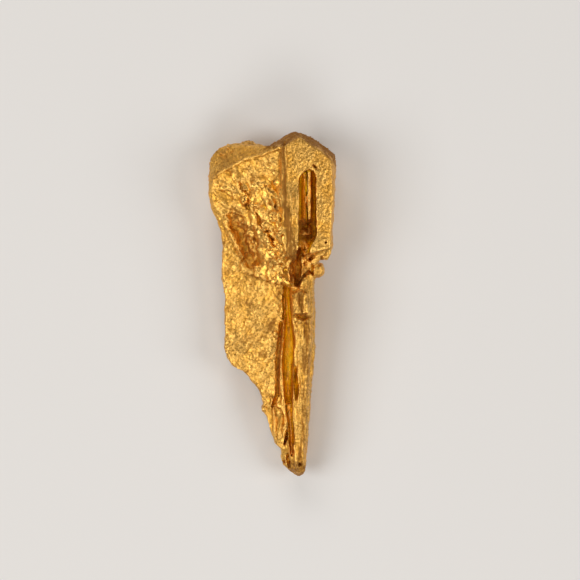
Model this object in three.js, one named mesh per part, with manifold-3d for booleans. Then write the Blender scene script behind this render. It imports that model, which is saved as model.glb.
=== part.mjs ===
// A native gold nugget: one long crystal growth that lies on its back with its best side up.
// Millimetres. +X runs across the nugget, +Y along it to the thick head, and +Z up from the
// surface that it rests on. The origin is the middle of its footprint, on that surface.
import * as THREE from "three";
import { ConvexGeometry } from "three/addons/geometries/ConvexGeometry.js";
import { mergeVertices } from "three/addons/utils/BufferGeometryUtils.js";
import Module from "manifold-3d";

const wasm = await Module();
wasm.setup();

// Driving dimensions: how high each face of the nugget stands, and how it leans
const RIDGE_X = 1.0; // where the head's two front faces meet
const RIDGE_HEIGHT = 5.75; // the nugget's thickness at that ridge
const PANEL_FALL = 0.22; // fall of the right face per millimetre towards +X
const LOBE_STEP = 0.15; // how far the left face lies under the ridge
const LOBE_FALL = 0.3; // fall of the left face per millimetre towards -X
const LOBE_DIP = 0.14; // fall of the left face per millimetre towards the tail
const LOBE_TOP_Y = 11.8; // where that fall starts
const RIM_HEIGHT = 3.5; // height of the head's widest outline
const LOBE_RIM_HEIGHT = 2.8; // the same on the left lobe, which is thinner
const LOBE_SHOULDER = 0.9; // where the lobe's back starts to turn in
const BLADE_HEIGHT = 3.1; // top of the thin blade on the head's left, at the origin
const BLADE_LEAN = 0.12; // rise of the blade per millimetre towards +X
const BLADE_RISE = 0.07; // rise of the blade per millimetre towards the head
const BLADE_THICKNESS = 1.6;
const BLADE_ROUND = 0.25; // rounding of the blade's edge
const BLADE_WAVE = 0.06; // how far each of two waves swells the blade's skin
const BLADE_CELL = 0.8; // size of the facets that follow them
const COLUMN_HEIGHT = 4.4; // crest of the column that runs to the tip, at the origin
const COLUMN_FALL = 0.115; // fall of that crest per millimetre towards the tip
const COLUMN_SIDE = 0.72; // height of the column's right edge, as a share of its crest's
const NECK_HEIGHT = 3.2; // floor of the cavity between the head and the column
const NECK_UNDER = 0.4; // underside of that neck
const REST = 0; // the surface under the nugget

// Depths of what is sunk into the faces, and heights of what stands on them
const SLOT_DEPTH = 1.5;
const ROD_RISE = 1.0;
const HOLLOW_DEPTH = 1.1;
const GUTTER_DEPTH = 0.45;
const GROOVE_DEPTH = 1.1;
const SEAM_DEPTH = 0.75;
const SEAM_RISE = 0.14; // the seam on the head's ridge
const STREAK_RISE = 0.1; // the finer streaks beside it and the lobe's crest
const SEAM_ROOT = 0.6; // how deep they are rooted
const RIB_RISE = 0.35; // the ribs beside the groove
const LOW_RIB_RISE = 0.12; // the rib on the column
const RIB_ROOT = 0.9;
const BLOCK_HEIGHT = 4.95; // top of the block at the column's head
const SHOULDER_HEIGHT = 4.25; // top of the shoulder behind the block
const CRUMB_HEIGHT = 4.0; // middle of the crumbs on the broken edge
const BACK_STEP = 0.4; // each of the two steps down into the back's hollow
const CHIP_CORNERS = 9; // of each fused crystal, crumb or pit
const CUT_CLEARANCE = 0.9; // how far a cutting body stands out of the face that it cuts

// Heights of the nugget's main faces over any point
const panelHeight = (x) => RIDGE_HEIGHT - PANEL_FALL * (x - RIDGE_X);
const lobeHeight = (x, y) =>
  RIDGE_HEIGHT - LOBE_STEP + LOBE_FALL * (x - RIDGE_X) + LOBE_DIP * (y - LOBE_TOP_Y);
const bladeHeight = (x, y) => BLADE_HEIGHT + BLADE_LEAN * x + BLADE_RISE * y;
const bladeSkin = (x, y) =>
  bladeHeight(x, y) + BLADE_WAVE * (Math.sin(2.3 * x + 0.9 * y) + Math.sin(1.6 * y - 1.9 * x + 1));
const columnHeight = (x, y) => COLUMN_HEIGHT + COLUMN_FALL * y;
const level = (height) => () => height;
const above = (height, rise) => (x, y) => height(x, y) + rise;

// Points on a face, from their places seen from above
const on = (height, ...places) => places.map(([x, y]) => new THREE.Vector3(x, y, height(x, y)));

// The same run of numbers each time, for what nature scatters
function scatter(seed) {
  const modulus = 2 ** 32;
  let state = seed;
  return (low, high) => {
    state = (state * 1664525 + 1013904223) % modulus;
    return low + (high - low) * (state / modulus);
  };
}

// A closed geometry as a solid, with its faces turned out
function solid(geometry) {
  const bare = geometry.clone();
  bare.deleteAttribute("normal");
  bare.deleteAttribute("uv");
  const { index, attributes } = mergeVertices(bare, 1e-4);
  const points = attributes.position.array;
  const corner = (i) => new THREE.Vector3().fromArray(points, 3 * i);
  const triVerts = [];
  let volume = 0;
  for (let i = 0; i < index.count; i += 3) {
    const [a, b, c] = index.array.slice(i, i + 3);
    if (a === b || b === c || c === a) continue;
    triVerts.push(a, b, c);
    volume += corner(a).dot(corner(b).cross(corner(c)));
  }
  if (volume < 0) triVerts.reverse();
  const mesh = new wasm.Mesh({
    numProp: 3,
    vertProperties: points,
    triVerts: new Uint32Array(triVerts),
  });
  return new wasm.Manifold(mesh);
}

const crystal = (...corners) => solid(new ConvexGeometry(corners.flat()));
const joined = (solids) => solids.reduce((all, next) => all.add(next));

// A geometry with each point raised by the height over its place
function lifted(geometry, height) {
  const at = geometry.getAttribute("position");
  for (let i = 0; i < at.count; i++) {
    at.setZ(i, at.getZ(i) + height(at.getX(i), at.getY(i)));
  }
  return geometry;
}

// A plate with a rounded edge. Its upper face follows a height, and its lower face is parallel
function plate(outline, height, thickness, round) {
  const shape = new THREE.Shape(outline.map(([x, y]) => new THREE.Vector2(x, y)));
  const geometry = new THREE.ExtrudeGeometry(shape, {
    depth: thickness - 2 * round,
    bevelThickness: round,
    bevelSize: round,
    bevelOffset: -round,
    bevelSegments: 2,
  });
  geometry.translate(0, 0, round - thickness);
  return solid(lifted(geometry, height));
}

// A slab whose two faces follow a wavy height, in square cells
function slab([left, foot], [right, top], height, thickness, cell) {
  const width = right - left;
  const length = top - foot;
  const counts = [Math.round(width / cell), Math.round(length / cell)];
  const geometry = new THREE.BoxGeometry(width, length, thickness, ...counts);
  geometry.translate((left + right) / 2, (foot + top) / 2, -thickness / 2);
  return solid(lifted(geometry, height));
}

// A bar swept along a path on a face. A station is [x, y, half width], and may add a scale of the
// section's height; the section is a convex loop of [across in half widths, up in millimetres]
function sweep(stations, height, section) {
  const places = stations.map(([x, y]) => new THREE.Vector2(x, y));
  const points = stations.flatMap(([x, y, halfWidth, scale = 1], i) => {
    const before = places[Math.max(i - 1, 0)];
    const after = places[Math.min(i + 1, places.length - 1)];
    const along = after.clone().sub(before).normalize();
    return section.flatMap(([across, up]) => [
      x - along.y * across * halfWidth,
      y + along.x * across * halfWidth,
      height(x, y) + scale * up,
    ]);
  });
  const sides = section.length;
  const faces = [];
  for (let i = 0; i + 1 < stations.length; i++) {
    for (let j = 0; j < sides; j++) {
      const a = i * sides + j;
      const b = i * sides + ((j + 1) % sides);
      faces.push(a, b, a + sides, b, b + sides, a + sides);
    }
  }
  const last = (stations.length - 1) * sides;
  for (let j = 1; j + 1 < sides; j++) {
    faces.push(0, j + 1, j, last, last + j, last + j + 1);
  }
  const geometry = new THREE.BufferGeometry();
  geometry.setAttribute("position", new THREE.Float32BufferAttribute(points, 3));
  geometry.setIndex(faces);
  return solid(geometry);
}

// Sections of what is swept: a round-bottomed channel to cut, and a blunt rib to add
const channel = (depth) => [
  [-1.3, Math.sign(depth) * CUT_CLEARANCE],
  [-1, 0],
  [-0.7, -0.7 * depth],
  [0, -depth],
  [0.7, -0.7 * depth],
  [1, 0],
  [1.3, Math.sign(depth) * CUT_CLEARANCE],
];
const rib = (rise, root) => [
  [-1.3, -root],
  [-0.75, 0.55 * rise],
  [0, rise],
  [0.75, 0.55 * rise],
  [1.3, -root],
];

// An angular chip, or a pit when it is cut: the hull of a few points on a ball, scaled and turned
function chip(pick, [x, y, z], [sizeX, sizeY, sizeZ], heading = pick(0, Math.PI)) {
  const corners = [];
  for (let i = 0; i < CHIP_CORNERS; i++) {
    const corner = new THREE.Vector3().setFromSphericalCoords(
      1,
      Math.acos(pick(-1, 1)),
      2 * Math.PI * pick(0, 1),
    );
    corners.push(corner);
  }
  const geometry = new ConvexGeometry(corners);
  geometry.scale(sizeX, sizeY, sizeZ);
  geometry.rotateZ(heading);
  geometry.translate(x, y, z);
  return solid(geometry);
}

// Chips on a face, each [x, y, size along x, along y, along z], with their middles in the face
const chipsOn = (seed, height, rows) => {
  const pick = scatter(seed);
  const chips = rows.map(([x, y, ...sizes]) => chip(pick, [x, y, height(x, y)], sizes, 0));
  return joined(chips);
};

// The head's right half: a prism with a broad flat face, a roof of bevels and an upright side
function headPrism() {
  const crest = on(panelHeight, [0.75, 11.75], [1.05, 11.85], [0.95, 3.95], [1.35, 3.75]);
  const panelTop = on(panelHeight, [2.0, 12.4], [2.5, 12.2], [4.4, 10.85]);
  const panelFoot = on(panelHeight, [4.5, 7.9], [4.3, 4.2], [1.9, 3.75]);
  const roofHeight = level(RIM_HEIGHT + 0.4);
  const roof = on(roofHeight, [-0.5, 11.8], [0.65, 12.42], [1.2, 12.85], [1.55, 13.0], [2.15, 12.93]);
  const top = on(level(RIM_HEIGHT), [2.9, 12.6], [4.3, 11.65], [4.72, 11.3]);
  const side = on(level(RIM_HEIGHT), [4.8, 10.4], [4.7, 8.25], [4.5, 4.4], [4.4, 4.1], [1.3, 2.9]);
  const backTop = on(level(REST), [-0.1, 11.2], [1.4, 12.2], [2.4, 12.2], [4.1, 11.0]);
  const backFoot = on(level(REST), [4.1, 4.8], [1.3, 3.2], [0.3, 3.6]);
  return crystal(crest, panelTop, panelFoot, roof, top, side, backTop, backFoot);
}

// The head's left half: a lobe whose front face leans away from the ridge
function headLobe() {
  const crest = on(lobeHeight, [-4.4, 9.6], [-3.5, 10.2], [-2.45, 10.7], [-0.8, 11.25], [0.8, 11.8]);
  const faceSide = on(lobeHeight, [-4.6, 8.6], [-4.4, 7.65], [-2.6, 4.2]);
  const faceFoot = on(lobeHeight, [-1.5, 2.6], [0.85, 1.75], [1.4, 1.6]);
  const rim = level(LOBE_RIM_HEIGHT);
  const rimTop = on(rim, [-4.35, 11.5], [-3.95, 11.85], [-3.4, 12.08], [-2.9, 12.18]);
  const rimSide = on(rim, [-4.82, 8.25], [-4.84, 9.4], [-4.78, 10.4], [-4.65, 11.0]);
  const bank = on(rim, [-4.72, 7.6], [-4.55, 7.1], [-3.7, 5.2], [-1.7, 2.2], [0.9, 1.4]);
  const shoulder = on(level(LOBE_SHOULDER), [-4.3, 10.3], [-3.4, 11.5], [-4.2, 8.4], [-1.4, 3.2]);
  const backTop = on(level(REST), [-2.4, 9.9], [-1.4, 11.0], [0.4, 11.5]);
  const backFoot = on(level(REST), [1.6, 3.2], [0.2, 3.4], [-1.6, 7.0]);
  return crystal(crest, faceSide, faceFoot, rimTop, rimSide, bank, shoulder, backTop, backFoot);
}

// The bumps on the lobe's upper outline, and the crest between its bevel and its face
function headBumps() {
  const bump = crystal(
    on(level(2.7), [-2.5, 12.1], [-2.2, 12.33], [-1.95, 12.44]),
    on(level(2.7), [-1.7, 12.43], [-1.42, 12.3], [-1.15, 12.08]),
    on(level(3.8), [-2.3, 11.75], [-1.9, 11.95], [-1.4, 11.7]),
    on(level(1.9), [-2.4, 11.4], [-1.2, 11.4]),
  );
  const crumb = crystal(
    on(level(3.1), [-1.3, 12.1], [-1.05, 12.14], [-0.78, 12.05], [-0.66, 11.88], [-0.8, 11.75]),
    on(level(3.6), [-1.2, 11.85], [-0.8, 11.8]),
    on(level(2.5), [-1.3, 11.6], [-0.8, 11.6]),
  );
  const bevelChips = chipsOn(3, level(LOBE_RIM_HEIGHT + 0.4), [
    [-3.05, 11.7, 0.6, 0.42, 0.6],
    [-3.8, 11.2, 0.6, 0.45, 0.6],
    [-0.7, 11.6, 0.5, 0.3, 1.0],
  ]);
  const crest = [
    [-4.4, 9.55, 0.05],
    [-3.9, 9.95, 0.14],
    [-3.45, 10.2, 0.1],
    [-2.9, 10.5, 0.16],
    [-2.3, 10.8, 0.12],
    [-1.6, 11.0, 0.18],
    [-0.8, 11.25, 0.12],
    [-0.2, 11.5, 0.16],
    [0.4, 11.7, 0.12],
    [0.8, 11.8, 0.06],
  ];
  return joined([bump, crumb, bevelChips, sweep(crest, lobeHeight, rib(STREAK_RISE, SEAM_ROOT))]);
}

// Low growth plates on the smoother upper part of the left face
function growthPlates() {
  return chipsOn(17, lobeHeight, [
    [-3.5, 9.0, 0.9, 0.7, 0.12],
    [-2.4, 9.7, 0.9, 0.6, 0.14],
    [-3.7, 7.9, 0.6, 0.8, 0.12],
    [-1.1, 10.1, 1.0, 0.7, 0.13],
    [0.1, 10.4, 0.6, 0.9, 0.12],
    [-2.7, 8.3, 0.7, 0.6, 0.16],
    [-0.9, 8.9, 0.8, 0.6, 0.15],
    [0.2, 8.7, 0.5, 0.8, 0.14],
    [-3.3, 6.7, 0.4, 0.9, 0.14],
  ]);
}

// The seam that stands along the ridge and ends blunt, with the finer streaks beside it
function ridgeSeam() {
  const seam = [
    [0.87, 11.85, 0.17],
    [0.86, 10.2, 0.2],
    [0.88, 8.8, 0.22],
    [1.0, 7.4, 0.26],
    [1.15, 6.2, 0.3],
    [1.3, 5.0, 0.36],
    [1.42, 4.1, 0.38],
    [1.5, 3.7, 0.2],
  ];
  const innerStreak = [
    [1.42, 8.6, 0.06],
    [1.5, 7.2, 0.1],
    [1.58, 5.8, 0.12],
    [1.66, 4.6, 0.1],
    [1.7, 4.1, 0.05],
  ];
  const lip = [
    [1.88, 8.4, 0.05],
    [1.88, 6.9, 0.09],
    [1.86, 5.4, 0.1],
    [1.84, 4.1, 0.06],
  ];
  return joined([
    sweep(seam, panelHeight, rib(SEAM_RISE, SEAM_ROOT)),
    sweep(innerStreak, panelHeight, rib(STREAK_RISE, SEAM_ROOT)),
    sweep(lip, panelHeight, rib(STREAK_RISE, SEAM_ROOT)),
  ]);
}

// The thin blade below the lobe, down to its wing beside the tail
function blade() {
  const outline = [
    [-4.6, 7.75],
    [-4.08, 6.4],
    [-3.85, 5.4],
    [-3.75, 4.2],
    [-3.84, 2.9],
    [-3.8, 1.8],
    [-3.55, 0.6],
    [-3.6, -0.65],
    [-3.57, -2.2],
    [-3.64, -3.15],
    [-3.4, -4.05],
    [-3.05, -4.55],
    [-2.65, -4.78],
    [-2.3, -4.9],
    [-1.6, -5.6],
    [-1.0, -6.5],
    [-0.7, -7.4],
    [-0.85, -7.7],
    [-0.8, -7.95],
    [-0.5, -8.2],
    [-0.2, -9.3],
    [0.1, -10.3],
    [0.55, -10.75],
    [1.4, -10.9],
    [1.6, -4.0],
    [1.6, 3.0],
    [-1.0, 7.7],
  ];
  const skin = slab([-5, -11.2], [1.8, 8], bladeSkin, BLADE_THICKNESS, BLADE_CELL);
  const reach = 2 * BLADE_WAVE;
  const bounds = plate(outline, above(bladeHeight, reach), BLADE_THICKNESS + 2 * reach, BLADE_ROUND);
  return skin.intersect(bounds);
}

// A flake by the groove, the knob on the blade's edge, and a chip beside the tail's seam
function bladeLumps() {
  return chipsOn(7, bladeHeight, [
    [0.35, -2.25, 0.4, 0.5, 0.26],
    [-0.62, -7.75, 0.34, 0.34, 0.35],
    [0.5, -7.5, 0.32, 0.5, 0.28],
  ]);
}

// The column on the right, from under the head to the nugget's tip
function column() {
  const crest = on(columnHeight, [2.1, 1.3], [2.8, 1.2], [2.0, -1.9], [2.85, -2.0]);
  const lowCrest = on(columnHeight, [2.05, -7.1], [2.5, -7.1], [1.95, -10.9], [2.35, -10.9]);
  const nose = on(level(2.35), [1.9, -12.6], [2.25, -12.5]);
  const sideHeight = (x, y) => COLUMN_SIDE * columnHeight(x, y);
  const right = on(sideHeight, [3.17, 1.5], [3.22, -2.25], [3.2, -3.4], [3.0, -5.6], [2.8, -8.0]);
  const lowRight = on(sideHeight, [2.7, -9.4], [2.5, -11.25], [2.45, -12.6]);
  const left = on(bladeHeight, [0.8, 1.5], [0.7, -3.4], [0.65, -8.6], [0.6, -10.75]);
  const foot = on(level(1.9), [0.62, -11.6], [0.72, -12.05], [1.05, -12.27]);
  const tip = on(level(1.3), [1.3, -12.55], [1.6, -12.85], [1.9, -13.0], [2.2, -12.85], [2.45, -12.6]);
  const back = on(level(REST), [1.2, 1.6], [2.8, 1.6], [2.8, -3.0]);
  const lowBack = on(level(REST), [2.3, -9.6], [1.2, -9.6], [1.1, -3.0]);
  const heel = on(level(0.35), [1.2, -11.8], [2.1, -12.2]);
  return crystal(crest, lowCrest, nose, right, lowRight, left, foot, tip, back, lowBack, heel);
}

// The raised block at the column's head, its step down, and the shoulder that rises behind it
function columnHead() {
  const block = crystal(
    on(level(BLOCK_HEIGHT), [1.9, 0.95], [2.62, 1.0], [2.68, -0.55], [1.98, -0.65]),
    on(level(3.6), [1.4, 1.05], [2.95, 1.05], [3.0, -0.8], [1.55, -0.85]),
  );
  const shoulder = crystal(
    on(level(SHOULDER_HEIGHT), [2.1, 1.55], [2.75, 2.4], [3.05, 2.1], [3.05, 1.0], [2.2, 1.0]),
    on(level(NECK_HEIGHT - 0.3), [1.75, 1.3], [2.6, 2.7], [3.16, 2.2], [3.18, 0.8], [1.9, 0.8]),
  );
  const step = chipsOn(2, columnHeight, [
    [1.95, -1.3, 0.3, 0.45, 0.25],
    [2.4, -1.15, 0.32, 0.35, 0.25],
    [2.2, -1.75, 0.3, 0.5, 0.16],
  ]);
  return joined([block, shoulder, step]);
}

// The neck that carries the column under the head, with the floor of the cavity on its top
function neck() {
  const floor = on(level(NECK_HEIGHT), [0.9, 4.6], [3.4, 4.6], [3.12, 2.2], [3.16, 0.9], [0.9, 0.9]);
  const under = on(level(NECK_UNDER), [1.2, 4.6], [2.9, 4.6], [2.5, 0.9], [1.2, 0.9]);
  return crystal(floor, under);
}

// The flake that stands out under the head's broken right edge
function flake() {
  const edge = [
    [2.95, 2.75],
    [3.4, 3.15],
    [3.88, 3.22],
    [4.0, 2.75],
    [3.93, 2.25],
    [3.7, 2.0],
    [3.35, 1.98],
    [2.95, 2.2],
  ];
  const middle = new THREE.Vector2(3.4, 2.6);
  const shrunk = edge.map(([x, y]) => new THREE.Vector2(x, y).lerp(middle, 0.3).toArray());
  return crystal(on(level(3.1), ...edge), on(level(3.75), ...shrunk), on(level(2.3), ...shrunk));
}

// The broken lower edge of the right face: a slanting ledge, a hook at its corner, and crumbs
function brokenEdge() {
  const ledge = crystal(
    on(level(4.75), [3.75, 4.15], [4.05, 3.95]),
    on(level(4.3), [2.88, 3.2], [3.14, 2.92]),
    on(level(NECK_HEIGHT - 0.2), [3.7, 4.5], [4.1, 4.2], [2.7, 3.4], [3.1, 2.8]),
  );
  const hook = crystal(
    on(level(4.5), [3.95, 4.5], [4.42, 4.4], [4.4, 3.75], [4.05, 3.7]),
    on(level(4.1), [4.2, 3.25], [3.95, 3.2], [3.92, 3.4]),
    on(level(3.3), [3.95, 4.5], [4.4, 4.4], [4.35, 3.8], [4.1, 3.6]),
  );
  const crumbs = chipsOn(23, level(CRUMB_HEIGHT), [
    [2.3, 4.2, 0.22, 0.6, 0.55],
    [2.25, 3.35, 0.26, 0.5, 0.4],
    [2.6, 3.55, 0.24, 0.5, 0.5],
    [2.75, 3.0, 0.32, 0.34, 0.35],
    [2.45, 2.7, 0.34, 0.3, 0.3],
    [2.95, 2.75, 0.28, 0.28, 0.3],
    [3.1, 4.0, 0.4, 0.4, 0.6],
    [3.5, 4.3, 0.4, 0.35, 0.65],
    [4.1, 4.35, 0.34, 0.3, 0.7],
    [3.8, 3.6, 0.35, 0.45, 0.7],
  ]);
  return joined([ledge, hook, crumbs]);
}

// The hopper slot in the right face
function slot() {
  const outline = [
    [2.0, 9.38],
    [2.12, 9.68],
    [2.42, 9.9],
    [2.75, 10.05],
    [3.08, 9.98],
    [3.22, 9.7],
    [3.24, 7.9],
    [3.26, 5.1],
    [3.02, 4.6],
    [2.75, 3.9],
    [2.6, 3.3],
    [1.7, 3.3],
    [1.93, 4.2],
    [1.97, 7.0],
  ];
  const wallRound = 0.04;
  return plate(outline, above(panelHeight, CUT_CLEARANCE), SLOT_DEPTH + CUT_CLEARANCE, wallRound);
}

// The upright rod that grew in the slot, and the rough floor under it
function slotRod() {
  const floor = above(panelHeight, -SLOT_DEPTH);
  const rod = crystal(
    on(above(floor, ROD_RISE), [2.56, 10.0], [2.9, 10.0], [2.6, 6.3], [2.9, 6.3]),
    on(above(floor, -0.3), [2.46, 10.1], [3.0, 10.1], [2.46, 6.1], [2.98, 6.1]),
  );
  const roughFloor = chipsOn(31, floor, [
    [2.75, 5.6, 0.32, 0.55, 0.45],
    [2.35, 5.3, 0.32, 0.5, 0.3],
    [2.95, 4.9, 0.3, 0.4, 0.5],
    [2.5, 4.6, 0.34, 0.45, 0.25],
  ]);
  return joined([rod, roughFloor]);
}

// Small crystals fused to the rough part of the left face, and the pits between them
const CRUST_COUNT = 60;
const CRUST_PITS = 26;
const CRUST_HEADING = -1.0; // most of them lie along the hollow beside them
function crustPlace(pick) {
  const along = pick(0, 1);
  const left = THREE.MathUtils.lerp(-2.4, -0.6, along);
  const right = THREE.MathUtils.lerp(0.55, 1.1, along);
  const y = THREE.MathUtils.lerp(9.1, 2.0, along);
  const x = pick(left, right);
  return [x, y];
}

function crust() {
  const pick = scatter(14);
  const grains = [];
  for (let i = 0; i < CRUST_COUNT; i++) {
    const [x, y] = crustPlace(pick);
    const size = pick(0.22, 0.5);
    const place = [x, y, lobeHeight(x, y) - 0.2 * size];
    const heading = CRUST_HEADING + pick(-0.5, 0.5);
    grains.push(chip(pick, place, [size * pick(1, 2.2), size, 0.8 * size], heading));
  }
  return joined(grains);
}

function crustPits() {
  const pick = scatter(5);
  const pits = [];
  for (let i = 0; i < CRUST_PITS; i++) {
    const [x, y] = crustPlace(pick);
    const size = pick(0.1, 0.22);
    const heading = CRUST_HEADING + pick(-0.4, 0.4);
    pits.push(chip(pick, [x, y, lobeHeight(x, y) + 0.1], [size * pick(1, 2.4), size, 0.45], heading));
  }
  return joined(pits);
}

// Bright crumbs on the step from the rough face down to the blade
function ledgeCrumbs() {
  const pick = scatter(29);
  const count = 15;
  const crumbs = [];
  for (let i = 0; i < count; i++) {
    const share = i / (count - 1);
    const x = THREE.MathUtils.lerp(-1.5, 1.35, share) + pick(-0.1, 0.1);
    const y = THREE.MathUtils.lerp(2.6, 1.75, share) + pick(-0.2, 0.25);
    const size = pick(0.2, 0.38);
    const height = lobeHeight(x, y) - 0.35 * size;
    crumbs.push(chip(pick, [x, y, height], [size, size * pick(0.7, 1.4), size]));
  }
  return joined(crumbs);
}

// The deep hollow between the rough face and the blade, the gutters and the pits near it
function hollows() {
  const hollow = [
    [-2.95, 7.3, 0.14, 0.5],
    [-2.74, 6.75, 0.42, 0.8],
    [-2.6, 6.2, 0.62, 1],
    [-2.42, 5.7, 0.52, 0.85],
    [-2.14, 5.2, 0.52, 1.05],
    [-1.95, 4.7, 0.6, 1.2],
    [-1.78, 4.2, 0.54, 1],
    [-1.66, 3.7, 0.68, 1.15],
    [-1.6, 3.15, 0.46, 0.9],
    [-1.6, 2.65, 0.16, 0.6],
  ];
  const gutter = [
    [-1.4, 7.3, 0.06],
    [-0.9, 6.1, 0.12],
    [-0.35, 5.2, 0.14],
    [0.3, 4.4, 0.12],
    [0.7, 4.0, 0.06],
  ];
  const upperGutter = [
    [-2.5, 9.3, 0.05],
    [-2.3, 8.8, 0.1],
    [-1.95, 8.2, 0.11],
    [-1.7, 7.6, 0.06],
  ];
  const pits = [
    [-1.85, 7.5, 0.34, 0.4, 0.5],
    [0.3, 7.4, 0.25, 0.36, 0.45],
    [0.3, 6.3, 0.14, 0.4, 0.4],
    [-1.3, 5.0, 0.22, 0.28, 0.4],
    [-3.3, 9.8, 0.34, 0.26, 0.3],
    [-3.7, 9.3, 0.16, 0.34, 0.2],
  ];
  return joined([
    sweep(hollow, above(bladeHeight, 0.5), channel(HOLLOW_DEPTH)),
    sweep(gutter, lobeHeight, channel(GUTTER_DEPTH)),
    sweep(upperGutter, lobeHeight, channel(GUTTER_DEPTH)),
    chipsOn(13, lobeHeight, pits),
  ]);
}

// The small holes in the right face and its roof, and the cavity under the ridge's blunt end
function headHoles() {
  const cavity = [
    [2.3, 4.3, 0.22],
    [1.98, 3.4, 0.26],
    [1.9, 2.7, 0.36],
    [1.85, 2.0, 0.4],
    [1.6, 1.4, 0.16],
  ];
  const holes = [
    [4.0, 4.65, 0.15, 0.14, 0.3],
    [0.87, 12.0, 0.1, 0.18, 0.35],
  ];
  const slit = chip(scatter(4), [3.23, 10.3, panelHeight(3.23)], [0.22, 0.07, 0.25], -0.6);
  const cavityDepth = 0.7;
  return joined([
    sweep(cavity, level(NECK_HEIGHT + 0.35), channel(cavityDepth)),
    chipsOn(6, panelHeight, holes),
    slit,
  ]);
}

// Ribs that stand along the groove and down the tail
function ribs() {
  const leftRib = [
    [0.83, -1.05, 0.1],
    [0.86, -2.2, 0.16],
    [0.7, -3.4, 0.15],
    [0.6, -4.5, 0.18],
    [0.65, -5.6, 0.22],
    [0.8, -6.8, 0.22],
    [0.75, -7.8, 0.2],
    [0.95, -8.8, 0.16],
    [0.8, -9.9, 0.1],
  ];
  const rightRib = [
    [1.5, -4.2, 0.06],
    [1.52, -5.2, 0.1],
    [1.6, -6.6, 0.12],
    [1.62, -8.2, 0.16],
    [1.7, -10.0, 0.18],
    [1.75, -11.4, 0.14],
    [1.85, -12.4, 0.08],
  ];
  const tailRib = [
    [-0.15, -6.8, 0.1],
    [0.02, -7.6, 0.16],
    [0.18, -8.6, 0.18],
    [0.24, -9.6, 0.14],
    [0.3, -10.2, 0.08],
  ];
  return joined([
    sweep(leftRib, bladeHeight, rib(RIB_RISE, RIB_ROOT)),
    sweep(rightRib, above(columnHeight, -LOW_RIB_RISE), rib(LOW_RIB_RISE, RIB_ROOT)),
    sweep(tailRib, bladeHeight, rib(RIB_RISE, RIB_ROOT)),
  ]);
}

// The long groove beside the column, and the narrow seams on both sides of it
function grooves() {
  const groove = [
    [1.1, 1.7, 0.26],
    [1.08, 0.4, 0.24],
    [1.15, -0.75, 0.28],
    [1.22, -1.9, 0.34],
    [1.22, -3.0, 0.4],
    [1.15, -4.25, 0.4],
    [1.12, -5.6, 0.34],
    [1.2, -7.1, 0.26],
    [1.28, -8.25, 0.22],
    [1.4, -9.4, 0.2],
    [1.42, -10.4, 0.18],
    [1.45, -11.4, 0.08],
  ];
  const upperSeam = [
    [0.83, 0.85, 0.06],
    [0.88, 0.2, 0.1],
    [0.9, -0.5, 0.1],
    [0.78, -1.1, 0.06],
  ];
  const lowerSeam = [
    [0.62, -1.2, 0.06],
    [0.6, -2.1, 0.1],
    [0.45, -3.2, 0.1],
    [0.36, -4.5, 0.14],
    [0.34, -5.6, 0.15],
    [0.36, -6.75, 0.13],
    [0.1, -7.4, 0.1],
    [-0.25, -7.9, 0.04],
  ];
  const rightSeam = [
    [1.68, -4.2, 0.04],
    [1.72, -5.2, 0.11],
    [1.8, -6.4, 0.13],
    [1.76, -7.2, 0.06],
  ];
  const spoon = [
    [0.75, -8.1, 0.1],
    [0.55, -8.8, 0.26],
    [0.42, -9.5, 0.22],
    [0.3, -10.1, 0.08],
  ];
  const tailSeam = [
    [1.18, -9.2, 0.05],
    [1.02, -10.0, 0.09],
    [0.85, -10.6, 0.06],
  ];
  const footSeam = [
    [1.1, -11.0, 0.05],
    [1.2, -11.8, 0.1],
    [1.3, -12.5, 0.08],
  ];
  return joined([
    sweep(groove, above(bladeHeight, 0.25), channel(GROOVE_DEPTH)),
    sweep(upperSeam, bladeHeight, channel(SEAM_DEPTH)),
    sweep(lowerSeam, bladeHeight, channel(SEAM_DEPTH)),
    sweep(rightSeam, above(columnHeight, -0.3), channel(SEAM_DEPTH)),
    sweep(spoon, bladeHeight, channel(GUTTER_DEPTH)),
    sweep(tailSeam, bladeHeight, channel(SEAM_DEPTH)),
    sweep(footSeam, level(2.2), channel(GUTTER_DEPTH)),
  ]);
}

// The relief of the back: a stepped hollow in the head, and a furrow along the column
function backRelief() {
  const wide = [
    [-1.1, 9.9],
    [0.6, 10.7],
    [1.5, 10.0],
    [1.4, 6.4],
    [0.5, 5.3],
    [-0.7, 6.8],
  ];
  const narrow = [
    [-0.7, 9.5],
    [0.5, 10.0],
    [1.0, 9.5],
    [0.9, 7.0],
    [0.4, 6.3],
    [-0.3, 7.4],
  ];
  const furrow = [
    [1.8, 2.4, 0.1],
    [2.0, 0.8, 0.3],
    [2.05, -2.4, 0.38],
    [1.85, -6.0, 0.3],
    [1.75, -9.2, 0.12],
  ];
  const stepRound = 0.1;
  return joined([
    plate(wide, level(REST + BACK_STEP), CUT_CLEARANCE + BACK_STEP, stepRound),
    plate(narrow, level(REST + 2 * BACK_STEP), CUT_CLEARANCE + 2 * BACK_STEP, stepRound),
    sweep(furrow, level(REST), channel(-BACK_STEP)),
  ]);
}

// Lumps on the underside of the blade and of the lobe
function backLumps() {
  const bladeBack = above(bladeHeight, -BLADE_THICKNESS);
  return chipsOn(41, bladeBack, [
    [-2.6, 4.2, 0.7, 0.9, 0.3],
    [-1.6, 2.4, 0.8, 0.7, 0.35],
    [-2.8, 1.2, 0.6, 1.0, 0.25],
    [-1.2, 0.2, 0.7, 1.0, 0.3],
    [-2.4, -1.6, 0.8, 0.8, 0.28],
    [-0.9, -2.4, 0.6, 1.1, 0.25],
    [-2.0, -3.8, 0.7, 0.7, 0.22],
    [-0.4, -5.6, 0.5, 1.0, 0.25],
    [-3.4, 8.6, 0.6, 1.0, 0.7],
  ]);
}

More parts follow.
